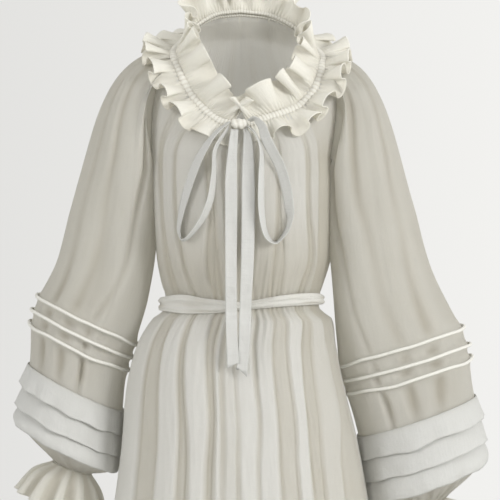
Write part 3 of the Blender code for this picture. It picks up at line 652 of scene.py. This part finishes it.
def sleeve_top(side):
    """The upper edge, up the front seam, over the shoulder and down the back seam, and its way out."""
    sign = SIDES[side]
    found = []
    for rows, lean, overlap in ((front_rows, -SEAM_LEAN, SEAM_OVERLAP), (back_rows, SEAM_LEAN, 0)):
        line = []
        for number, row in enumerate(rows[: YOKE_ROWS + 1]):
            whole, part = divmod(overlap * number / YOKE_ROWS, 1)
            edge = [point for point, _ in row][::-sign][int(whole) : int(whole) + 2]
            line.append(edge[0].lerp(edge[1], part))
        half = []
        for k in range(SEAM_COLUMNS + 1):
            share = k / SEAM_COLUMNS
            low = min(int(share * YOKE_ROWS), YOKE_ROWS - 1)
            point = line[low].lerp(line[low + 1], share * YOKE_ROWS - low)
            aside = Vector((sign, lean, -SEAM_FALL)).normalized() * RAGLAN_SEAM
            leave = Vector((sign, lean, -SEAM_FALL - SEAM_FALL_MORE * share)).normalized()
            half.append((point + aside, leave))
        found.append(half)
    cap_columns = SLEEVE_COLUMNS - 2 * SEAM_COLUMNS
    begin, end = RAGLAN_FRONT[sign], RAGLAN_BACK[sign]
    cap = [panel_top(begin + (end - begin) * k / cap_columns) for k in range(1, cap_columns)]
    return found[0][::-1] + cap + found[1][:-1]


def sleeve_rows(side):
    angles = [2 * pi * k / SLEEVE_COLUMNS for k in range(SLEEVE_COLUMNS)]
    top = sleeve_top(side)
    rows = []
    for step in range(SHOULDER_ROWS):
        t = step / SHOULDER_ROWS
        row = []
        for k, ((start, leave), angle) in enumerate(zip(top, angles)):
            sink, hollow = sleeve_sink(side, 0, angle)
            end = sleeve_ring(side, 0, angle, -sink)
            full = SEAM_FULLNESS + (SHOULDER_FULLNESS - SEAM_FULLNESS) * sin(angle / 2) ** 2
            reach = (end - start).length * full
            down = (sleeve_ring(side, 1, angle) - sleeve_ring(side, 0, angle)).normalized()
            point = bend(start, leave * reach, end, down * reach, t)
            # Small gathers where the shoulder is drawn into the casing, with painted shade in them
            drawn = sin(k * 0.95 + 2 * rumple(k * 0.05, t, 5))
            high = max(0.0, sin(angle / 2)) ** 1.5
            gather = SHOULDER_GATHERS * high * (1 - t) * t ** 0.25 * drawn
            hollow += 0.4 * high * (1 - t) ** 1.2 * max(0.0, drawn)
            out = leave.cross(down)
            off = out.cross(leave).normalized() if out.length > 0.05 else Vector((0, 0, 1))
            row.append((point - off * gather, sleeve_painted_shade_at(angle, hollow)))
        rows.append(row)

    def cloth_at(t, angle):
        sink, hollow = sleeve_sink(side, WRIST_ROW * t, angle)
        return sleeve_ring(side, WRIST_ROW * t, angle, -sink), sleeve_painted_shade_at(angle, hollow)

    return rows + ring_rows(SLEEVE_ROWS, SLEEVE_COLUMNS, cloth_at)


sleeve_voile = voile("sleeve_voile", (0.85, 0.84, 0.80), (0.54, 0.505, 0.43), 0.93, 0.9, 0.6)
for side in SIDES:
    rows = sleeve_rows(side)
    sleeve = drape(f"sleeve_{side}_cloth", rows, VOILE * 2, sleeve_voile, closed=True, hems=(0, -1))
    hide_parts(f"sleeve_{side}")

# Corded tucks
# Three narrow tucks round each sleeve, above the sheer band. Each is a fold of the voile wrapped round a
# cotton cord and stitched close under it, so that it stands out as a smooth ridge with tiny puckers.
# Thickness of the covered cord, and how far each of the three stands off the sleeve
CORD, CORD_STANDS = 0.0052, (0.0012, 0.0018, 0.0012)
CORD_COLUMNS, CORD_WRAPS = 240, 11
CORD_OPENING = radians(34)
# How far a cord strays from its row, in rows of the sleeve's table
CORD_WANDERS = 0.07


def cord_rows(side, row, stands, seed):
    """Rows round the cord, from one lip at the stitching to the other."""
    rows = [[] for _ in range(CORD_WRAPS)]
    for k in range(CORD_COLUMNS):
        angle = 2 * pi * k / CORD_COLUMNS
        wander = 0.0005 * rumple(angle * 6, 0, seed)
        at = row + CORD_WANDERS * uneven_round(angle, 1.8, 1.8 * seed)
        middle = sleeve_ring(side, at, angle, CORD / 2 + stands + wander)
        after, before = (sleeve_ring(side, row, angle + step, CORD / 2 + stands) for step in (0.02, -0.02))
        along = (after - before).normalized()
        inward = (sleeve_ring(side, row, angle) - middle).normalized()
        up = along.cross(inward).normalized()
        for wrap, line in enumerate(rows):
            turn = CORD_OPENING + (2 * pi - 2 * CORD_OPENING) * wrap / (CORD_WRAPS - 1)
            pucker = 1 - 0.05 * (0.5 + 0.5 * sin(k * 1.9 + seed)) * abs(cos(turn / 2))
            radius = (CORD / 2 - 0.0003) * pucker
            line.append((middle + (inward * cos(turn) + up * sin(turn)) * radius, 0.0))
    return rows


cord_voile = voile("cord_voile", (0.88, 0.87, 0.815), (0.70, 0.65, 0.55), 0.98, 1.0, 0.2)
for side in SIDES:
    for number, (row, stands) in enumerate(zip(CORD_ROWS, CORD_STANDS), start=1):
        rows = cord_rows(side, row, stands, 30 + number)
        ridge = drape(f"cord_{side}_{number}", rows, VOILE, cord_voile, closed=True)
        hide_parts(f"cord_tuck_{side}_{number}")

# Deep tucks
# Three flat tucks of doubled voile, pressed and stitched along their tops. Each hangs free below its
# stitching and over the top of the next, so they look whiter than the single cloth, with crisp edges.
DEEP_TUCKS = ((5.0, 5.55), (5.5, 6.15), (6.05, 7.0))
TUCK_TOP, TUCK_FLARE_INNER, TUCK_FLARE_OUTER = 0.0024, 0.0040, 0.0085
TUCK_ROWS, TUCK_COLUMNS = 12, 180
# Height of the waves of a tuck's free edge and of its small ripples, and how far it sways up and down,
# in rows of the sleeve's table
TUCK_WAVES, TUCK_RIPPLES, TUCK_SWAYS = 0.0042, 0.0009, 0.085
DOUBLED_VOILE = 0.0011


def tuck_rows(side, begin, end, seed):
    def cloth_at(t, angle):
        flare = TUCK_FLARE_INNER + (TUCK_FLARE_OUTER - TUCK_FLARE_INNER) * (1 - cos(angle)) / 2
        wave = TUCK_WAVES * uneven_round(angle, 3.2, seed) + TUCK_RIPPLES * uneven_round(angle, 9, seed + t)
        at = begin + (end - begin) * t + TUCK_SWAYS * uneven_round(angle, 2.2, seed + 9) * t * t
        point = sleeve_ring(side, at, angle, TUCK_TOP + flare * t ** 0.85 + wave * t ** 1.2)
        # Painted shade where the free edge waves inwards, and at the top under the stitching
        return point, 0.35 * max(0.0, -wave) / 0.0034 * t + 0.5 * (1 - t) ** 6

    return ring_rows(TUCK_ROWS, TUCK_COLUMNS, cloth_at)


tuck_voile = voile("tuck_voile", (0.76, 0.76, 0.735), (0.54, 0.53, 0.485), 0.97, 0.8, 0.3)
for side in SIDES:
    for number, (begin, end) in enumerate(DEEP_TUCKS, start=1):
        rows = tuck_rows(side, begin, end, 40 + number * 3 + SIDES[side])
        tuck = drape(
            f"tuck_{side}_{number}", rows, DOUBLED_VOILE, tuck_voile, closed=True, hems=(-1,), hem=0.75
        )
        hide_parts(f"deep_tuck_{side}_{number}")

# Wrist frills
# The voile is drawn tight round the wrist and flares past it in a gathered frill with a narrow hem.
# half width, half depth, shift away from the body, drop, half height of the waves
FRILL = (
    (0.031, 0.030, 0.000, 0.0016, 0.0005),
    (0.054, 0.048, 0.008, 0.022, 0.0045),
    (0.070, 0.062, 0.018, 0.058, 0.0075),
)
FRILL_WAVES, FRILL_ROWS, FRILL_COLUMNS = 12, 20, 240
FRILL_GATHERS = 0.0008


def frill_rows(side):
    outer_x, outer_drop, inner_x, inner_drop, middle_y, _, _ = SLEEVE[side][-1]
    middle = Vector(((outer_x + inner_x) / 2, middle_y, -(outer_drop + inner_drop) / 2))
    across = Vector((outer_x - inner_x, 0, inner_drop - outer_drop)).normalized()

    def cloth_at(t, angle):
        half, deep, shift, drop, wave = (glide(range(3), column, 2 * t) for column in zip(*FRILL))
        own = 1 + 0.35 * uneven_round(angle, 2.5, 50 + SIDES[side])
        phase = FRILL_WAVES * angle + 0.8 * uneven_round(angle, 2, 55)
        small = FRILL_GATHERS * (1 - t) * sin(3 * phase) * t ** 0.5
        lean = angle + 0.35 * wave / half * sin(2 * phase) * t
        arm = Vector((0, -deep, 0)) * sin(lean) - across * half * cos(lean)
        centre = middle + Vector((SIDES[side] * shift, 0, -drop))
        point = centre + arm + arm.normalized() * (wave * own * cos(phase) + small)
        # Painted shade in the troughs of the waves
        return point, max(0.0, 0.5 - 0.5 * cos(phase)) * 0.7

    return ring_rows(FRILL_ROWS, FRILL_COLUMNS, cloth_at)


frill_voile = voile("frill_voile", (0.85, 0.84, 0.79), (0.58, 0.535, 0.45), 0.90, 1.0, 0.5)
for side in SIDES:
    rows = frill_rows(side)
    frill = drape(f"frill_{side}", rows, DOUBLED_VOILE, frill_voile, closed=True, hems=(0, -1, -2))
    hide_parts(f"wrist_frill_{side}")

# Neck casing
# A narrow channel of doubled voile, drawn up on the tie into a string of small tight puffs between the
# two ruffles.
CASING_ENDS, CASING_PUFFS = (3, 353), 132
CASING_WIDE, CASING_HIGH = 0.0060, 0.0036
CASING_STEPS, CASING_SIDES = 6, 17
# How far round its section the channel stays open to each side of the stitching, and how far puffs lean
CASING_OPENING, CASING_LEAN = 0.25, 0.0016


def puff_at(bearing):
    """How many puffs lie between the casing's start and a bearing."""
    begin, end = CASING_ENDS
    return ((bearing - begin) % 360) / (end - begin) * CASING_PUFFS


def casing_rows():
    """Rows round the channel, open where its two edges are stitched down."""
    begin, end = CASING_ENDS
    rows = [[] for _ in range(CASING_SIDES)]
    for k in range(CASING_PUFFS * CASING_STEPS + 1):
        puff = k / CASING_STEPS
        middle, out, off, along = neck_frame(begin + (end - begin) * puff / CASING_PUFFS)
        own = rumple(int(puff) * 1.7, 0, 60)
        swell = abs(sin(pi * puff)) ** 0.5
        wide = 0.86 + 0.10 * swell + 0.16 * own * sin(pi * puff) ** 2
        high = 0.62 + 0.32 * swell + 0.16 * own * sin(pi * puff) ** 2
        for number, row in enumerate(rows):
            angle = -pi / 2 + CASING_OPENING + (2 * pi - 2 * CASING_OPENING) * number / (CASING_SIDES - 1)
            lean = CASING_LEAN * rumple(puff * 0.23, 4, 62) * cos(angle)
            point = middle + out * CASING_WIDE * wide * cos(angle) + along * lean
            point += off * CASING_HIGH * high * sin(angle)
            # Painted shade in the pinches between the puffs
            row.append((point, 0.55 * (1 - swell)))
    return rows


casing_voile = voile("casing_voile", (0.92, 0.905, 0.84), (0.62, 0.57, 0.47), 0.99, 1.0, 0.25)
casing = drape("casing", casing_rows(), VOILE, casing_voile)
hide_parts("neck_casing")

# Neck ruffles
# One strip of voile falls outwards from the casing and one stands up and inwards. Both are crisp,
# with a narrow rolled hem, and their waves are big, uneven and lean over one another.
RUFFLE_ENDS, RUFFLE_ROOT = (3, 354), 0.0040
# bearing, width, lift of the free edge, half height of its waves, slant along the casing
INNER_RUFFLE = (
    (-180, 0.040, 0.020, 0.012, 0.000),
    (-120, 0.044, 0.026, 0.013, 0.000),
    (-60, 0.050, 0.030, 0.019, 0.004),
    (-35, 0.050, 0.030, 0.019, 0.010),
    (-14, 0.042, 0.020, 0.012, 0.026),
    (14, 0.042, 0.022, 0.012, -0.028),
    (35, 0.050, 0.030, 0.019, -0.010),
    (60, 0.050, 0.030, 0.019, -0.004),
    (120, 0.044, 0.026, 0.013, 0.000),
    (180, 0.040, 0.020, 0.012, 0.000),
)
OUTER_RUFFLE = (
    (-180, 0.036, 0.013, 0.011, 0.000),
    (-100, 0.044, 0.015, 0.014, 0.000),
    (-60, 0.043, 0.015, 0.014, 0.000),
    (-32, 0.041, 0.011, 0.010, 0.000),
    (-12, 0.036, 0.005, 0.003, 0.006),
    (12, 0.036, 0.005, 0.003, -0.004),
    (32, 0.039, 0.011, 0.010, 0.000),
    (60, 0.040, 0.015, 0.014, 0.000),
    (100, 0.042, 0.015, 0.014, 0.000),
    (180, 0.036, 0.013, 0.011, 0.000),
)
RUFFLE_ROWS, RUFFLE_COLUMNS = 20, 1120
CREST_DRAWS_IN = 0.35
# How flat the sides of a wave are
WAVE_FLATNESS = 0.97
# Puckers at the casing, high ones that end soon and low ones that reach further: half height, and reach
# as a share of the ruffle's width
ROOT_PUCKERS = ((0.0013, 0.16), (0.0004, 0.5))
# How far the rolled hem curls, over the last share of the width
HEM_CURLS, HEM_SHARE = 0.0016, 0.2


def ruffle_rows(table, reach, side, seed, waves, overhang):
    """Rows from the casing to the free edge. side is 1 for the outer ruffle and -1 for the inner one.

    overhang is how far a wave's crest spreads over the hollows beside it.
    """
    steps = RUFFLE_COLUMNS // waves
    widths = [1 + 0.30 * sin(2.4 * k) + 0.22 * sin(5.1 * k + seed) for k in range(waves)]
    begins = [sum(widths[:k]) / sum(widths) for k in range(waves + 1)]
    begin, end = RUFFLE_ENDS
    rows = [[] for _ in range(RUFFLE_ROWS + 1)]
    for k in range(waves * steps + 1):
        wave, part = divmod(k, steps)
        part /= steps
        share = begins[wave] + (begins[min(wave + 1, waves)] - begins[wave]) * part
        bearing = around(begin + (end - begin) * share)
        middle, out, off, along = neck_frame(bearing)
        wide, lift, high, slant = read(table, bearing)
        phase = 2 * pi * part
        crest, trough = max(0.0, sin(phase)), max(0.0, -sin(phase))
        own = [rumple(wave * 3.7, number, seed) for number in range(4)]
        swing = asin(WAVE_FLATNESS * sin(phase)) / asin(WAVE_FLATNESS)
        swing *= high * (1 + 0.5 * own[0] * crest + 0.5 * own[1] * trough)
        facing = max(-1.0, min(1.0, 3 * sin(radians(bearing))))
        sway = (0.8 * own[2] - 0.45 * facing) * crest + 0.6 * own[3] * trough
        sway = high * (sway - overhang * sin(2 * phase))
        wide *= 1 + 0.10 * rumple(share * 23, 3, seed)
        pleat = 2 * pi * puff_at(bearing)
        for number, row in enumerate(rows):
            t = number / RUFFLE_ROWS
            far = glide((0.0, 0.5, 1.0), reach, t)
            root = sum(tall * exp(-t / fades) for tall, fades in ROOT_PUCKERS)
            root *= min(1.0, t / 0.05) * sin(pleat)
            curl = HEM_CURLS * max(0.0, t - 1 + HEM_SHARE) / HEM_SHARE * rumple(share * 70, 5, seed)
            away = RUFFLE_ROOT + far * wide - CREST_DRAWS_IN * swing * t
            up = (RUFFLE_ROOT * 0.5 if side < 0 else 0.0) + lift * t + swing * t ** 0.85 + root + curl
            # Painted shade in the troughs, on the side of each wave turned from the light, and next to the
            # casing
            hollow = (0.35 * trough + (0.5 + 0.3 * own[1]) * max(0.0, -facing * cos(phase)) ** 2) * t
            hollow += 0.35 * (1 - t) ** 4
            aside = sway * t ** 1.2 + slant * t
            row.append((middle + out * side * away + off * up + along * aside, hollow))
    return rows


ruffle_voile = voile("ruffle_voile", (0.93, 0.915, 0.85), (0.62, 0.575, 0.47), 0.96, 1.0, 0.28)
for name, node, table, reach, side, waves, overhang, cut in (
    ("ruffle_inner", "neck_ruffle_inner", INNER_RUFFLE, (0.0, 0.40, 0.76), -1, 19, 0.42, 1.30),
    ("ruffle_outer", "neck_ruffle_outer", OUTER_RUFFLE, (0.0, 0.48, 0.94), 1, 23, 0.66, 1.60),
):
    rows = ruffle_rows(table, reach, side, 75.0 + 3 * side, waves, overhang)
    ruffle = drape(name, rows, DOUBLED_VOILE, ruffle_voile, hems=(-1, -2))
    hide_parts(node)

# Sash
# A long soft strip of the same voile, folded lengthwise and crushed as it is drawn in round the waist.
# It lies over both panels and holds their gathers.
# bearing, drop of its middle, half height, how far it stands off the body
BELT = (
    (-180, 0.390, 0.0110, 0.005),
    (-135, 0.388, 0.0100, 0.005),
    (-90, 0.393, 0.0080, 0.010),
    (-50, 0.391, 0.0140, 0.005),
    (-20, 0.394, 0.0100, 0.0035),
    (0, 0.393, 0.0055, 0.0035),
    (30, 0.386, 0.0085, 0.0045),
    (60, 0.384, 0.0085, 0.005),
    (90, 0.387, 0.0065, 0.006),
    (135, 0.388, 0.0100, 0.005),
    (180, 0.390, 0.0110, 0.005),
)
BELT_PROFILE = ((-1.0, 0.0), (-0.5, 0.0032), (0.0, 0.0012), (0.5, 0.0032), (1.0, 0.0))
BELT_ROWS, BELT_COLUMNS = 22, 280
# Half height of its folds and of its fine creases
BELT_FOLDS, BELT_CREASES = 0.0022, 0.0009


def sash_cloth(t, angle):
    """The sash's cloth at a share of the way down it, with the angle run from the front."""
    part, bearing = 1 - 2 * t, around(angle * 180 / pi)
    drop, half, off = read(BELT, bearing)
    fold, fine = uneven_round(angle, 1.6, 80 + part * 1.4), uneven_round(angle, 5, 84 + part * 3.5)
    edge = 1 - abs(part) ** 4
    crush = (BELT_FOLDS * fold + BELT_CREASES * fine) * edge
    half *= 1 + 0.08 * uneven_round(angle, 3, 88)
    point = body_point(drop - part * half, bearing, -(off + read(BELT_PROFILE, part)[0] + crush))
    # Painted shade where the sash's folds press in
    return point, max(0.0, -fold) * 0.9 * edge


sash_voile = voile("sash_voile", (0.79, 0.78, 0.735), (0.54, 0.495, 0.40), 0.97, 1.0, 0.25)
rows = ring_rows(BELT_ROWS, BELT_COLUMNS, sash_cloth)
sash = drape("sash", rows, VOILE * 2, sash_voile, closed=True, hems=(0, -1))
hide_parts("belt")

# Drawstring tie
# A tape of the same voile, folded into three and stitched along its edges. It comes out of the casing
# at the front and is tied in a bow with two long loops and two long ends.
# Thickness of the tape
TAPE = 0.0010
# x, drop, lift off the front, width, turn of the tape out of the front's plane in degrees
TIES = {
    "tie_loop_right": (
        (-0.0204, 0.1200, 0.008, 0.008, 75),
        (-0.0360, 0.1340, 0.019, 0.012, 65),
        (-0.0523, 0.1540, 0.022, 0.016, 55),
        (-0.0690, 0.1850, 0.018, 0.017, 45),
        (-0.0825, 0.2220, 0.013, 0.017, 50),
        (-0.0915, 0.2560, 0.013, 0.017, 60),
        (-0.0955, 0.2800, 0.013, 0.017, 70),
        (-0.0900, 0.2945, 0.013, 0.017, 80),
        (-0.0780, 0.2890, 0.013, 0.017, 75),
        (-0.0585, 0.2630, 0.013, 0.017, 65),
        (-0.0465, 0.2330, 0.013, 0.017, 60),
        (-0.0420, 0.1950, 0.015, 0.016, 65),
        (-0.0400, 0.1620, 0.019, 0.013, 70),
        (-0.0204, 0.1270, 0.008, 0.008, 80),
    ),
    "tie_loop_left": (
        (0.0090, 0.1185, 0.008, 0.008, 75),
        (0.0175, 0.1170, 0.015, 0.012, 60),
        (0.0280, 0.1280, 0.021, 0.015, 40),
        (0.0350, 0.1480, 0.022, 0.017, 30),
        (0.0450, 0.1670, 0.021, 0.017, 30),
        (0.0560, 0.1890, 0.017, 0.017, 30),
        (0.0645, 0.2200, 0.013, 0.017, 30),
        (0.0690, 0.2480, 0.013, 0.017, 40),
        (0.0698, 0.2640, 0.013, 0.017, 60),
        (0.0640, 0.2830, 0.013, 0.017, 70),
        (0.0505, 0.2985, 0.013, 0.017, 80),
        (0.0385, 0.2930, 0.013, 0.017, 70),
        (0.0310, 0.2760, 0.013, 0.017, 65),
        (0.0272, 0.2440, 0.013, 0.017, 60),
        (0.0275, 0.2000, 0.015, 0.016, 60),
        (0.0280, 0.1650, 0.019, 0.013, 70),
        (0.0200, 0.1400, 0.017, 0.009, 80),
        (0.0087, 0.1265, 0.008, 0.007, 85),
    ),
    "tie_tail_right": (
        (-0.0119, 0.1312, 0.007, 0.0115, 0),
        (-0.0145, 0.1600, 0.011, 0.0135, 0),
        (-0.0170, 0.2050, 0.010, 0.0175, 5),
        (-0.0170, 0.2513, 0.010, 0.0180, 5),
        (-0.0170, 0.3200, 0.018, 0.0170, 0),
        (-0.0168, 0.3834, 0.034, 0.0170, 0),
        (-0.0160, 0.4300, 0.022, 0.0170, 0),
        (-0.0138, 0.4788, 0.013, 0.0180, 0),
    ),
    "tie_tail_left": (
        (0.0035, 0.1310, 0.007, 0.0050, 0),
        (0.0075, 0.1480, 0.010, 0.0140, 20),
        (0.0083, 0.2000, 0.0085, 0.0190, 5),
        (0.0083, 0.2513, 0.0085, 0.0195, 0),
        (0.0073, 0.3200, 0.0165, 0.0190, 0),
        (0.0047, 0.3834, 0.0325, 0.0175, 0),
        (0.0028, 0.4377, 0.0190, 0.0175, 0),
        (-0.0012, 0.4884, 0.0095, 0.0160, 0),
    ),
}
# How long each of these lies flat
TIE_LENGTHS = (0.38, 0.40, 0.36, 0.37)
TIE_STEPS, TAPE_COLUMNS = 110, 9
# How much closer to the bodice the soft tape lies than its solid. It comes in between the first two of
# these drops and leaves again between the last two.
TIE_SETTLES, TIE_SETTLES_AT = 0.0055, (0.14, 0.18, 0.30, 0.35)
# Height of the tape's crown along its middle, of its wrinkles and of the pinches next to the knot
TAPE_CROWN, TAPE_WRINKLES, TAPE_PINCHES = 0.0007, 0.0004, 0.0016
# How far the cut end of each tail slants
TIE_SLANTS = {"tie_tail_right": 0.004, "tie_tail_left": -0.007}
KNOT_AT, KNOT_SIZE = Vector((-0.0055, -0.1080, -0.123)), Vector((0.024, 0.014, 0.015))
KNOT_ROWS, KNOT_COLUMNS = 20, 40


def front_surface(x, drop):
    """The front's y under a point of the tape."""
    right, left, front_y, _, _ = read(BODY, drop)
    across = (x - (left + right) / 2) / ((left - right) / 2)
    return SIDE_Y - (SIDE_Y - front_y) * (1 - across * across) ** 0.5


def tie_point(table, row):
    x, drop, lift, wide, turn = (glide(range(len(table)), column, row) for column in zip(*table))
    comes, close, leaves, away = TIE_SETTLES_AT
    settled = passed(comes, close, drop) * passed(away, leaves, drop)
    return Vector((x, front_surface(x, drop) - lift + TIE_SETTLES * settled, -drop)), wide, radians(turn)


def tape_rows(name, seed):
    """The tape's lengthwise rows, slightly crowned, pinched near the knot and darker at the stitching."""
    table = TIES[name]
    rows = [[] for _ in range(TAPE_COLUMNS)]
    for k in range(TIE_STEPS + 1):
        share = k / TIE_STEPS
        row = (len(table) - 1) * share
        at, wide, turn = tie_point(table, row)
        along = (tie_point(table, row + 0.05)[0] - tie_point(table, row - 0.05)[0]).normalized()
        flat = along.cross(Vector((0, -1, 0))).normalized()
        turn += 0.10 * rumple(share * 5, 0, seed)
        across = flat * cos(turn) + along.cross(flat) * sin(turn)
        face = along.cross(across).normalized()
        pinched = 1 - min(1.0, wide / 0.015)
        for column, line in enumerate(rows):
            part = 2 * column / (TAPE_COLUMNS - 1) - 1
            crown = TAPE_CROWN * (1 - part * part) + TAPE_WRINKLES * rumple(share * 16, part * 1.5, seed)
            crown += TAPE_PINCHES * pinched * sin(part * 5 + seed)
            point = at + across * part * wide / 2 + face * crown
            if name in TIE_SLANTS and k == TIE_STEPS:
                point += along * TIE_SLANTS[name] * part
            # Painted shade in the pinches near the knot, and darker along the stitched edges
            line.append((point, 0.35 * pinched + 0.12 * (abs(part) > 0.9)))
    return rows


def knot_cloth(t, angle):
    """A wrap of tape over the roots of the loops, as a crumpled barrel that lies across the front."""
    part = 2 * t - 1
    round_off = (1 - abs(part) ** 3.2) ** 0.5 * 0.86 + 0.14
    fold = 0.09 * sin(part * 9 + 1.5 * sin(angle)) + 0.10 * uneven_round(angle, 1.5, 90 + part * 2)
    size = round_off * (0.93 + fold)
    wrap = Vector((part, -cos(angle) * size, sin(angle) * size))
    # Painted shade where the wrap's folds press in
    return KNOT_AT + wrap * KNOT_SIZE / 2, max(0.0, -fold) * 4


tape_voile = voile("tape_voile", (0.73, 0.73, 0.705), (0.52, 0.50, 0.44), 0.98, 1.0, 0.25)
# The knot takes the casing's brighter voile, painted lighter against the shadow it lies in
knot = drape("knot", ring_rows(KNOT_ROWS, KNOT_COLUMNS, knot_cloth), VOILE, casing_voile, closed=True)
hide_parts("tie_knot")
for number, (name, length) in enumerate(zip(TIES, TIE_LENGTHS)):
    tape = drape(name + "_tape", tape_rows(name, 100.0 + 7 * number), TAPE, tape_voile)
    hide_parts(name)
